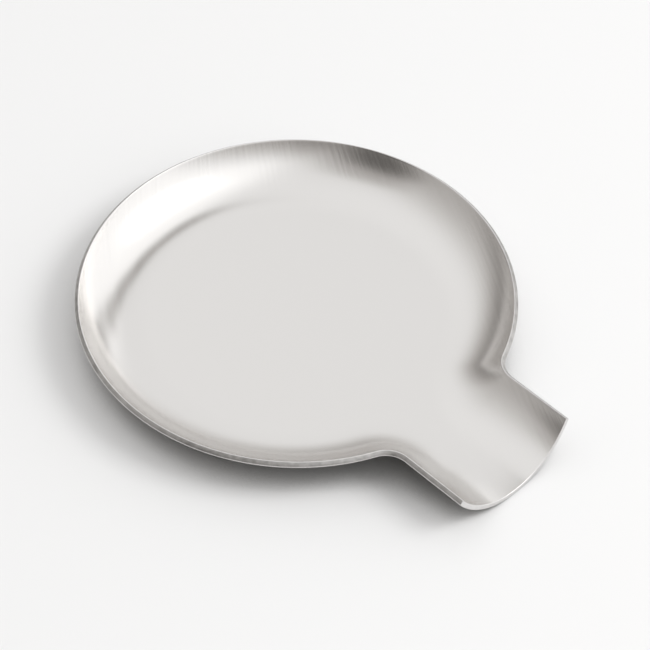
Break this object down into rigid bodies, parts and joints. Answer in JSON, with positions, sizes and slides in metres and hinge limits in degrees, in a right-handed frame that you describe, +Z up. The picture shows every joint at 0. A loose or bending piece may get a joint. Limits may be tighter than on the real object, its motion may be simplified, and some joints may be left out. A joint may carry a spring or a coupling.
{
  "type": "spoon rest",
  "caption": "Round shallow spoon rest pressed from brushed stainless sheet, with a flared wall and an open tab that cradles the spoon's handle.",
  "frame": {"origin": "centre of the round dish on the underside of its floor, where the part stands on the table", "axes": "+X from the dish's centre along the tab to its tip, +Y to the left of the tab, +Z up out of the hollow"},
  "size_m": [0.1415, 0.1196, 0.012],
  "materials": {
    "brushed_stainless": "fine satin brushing, cut edges deburred"
  },
  "bodies": {
    "root": {"pressed_tray": "brushed_stainless"}
  },
  "joints": []
}
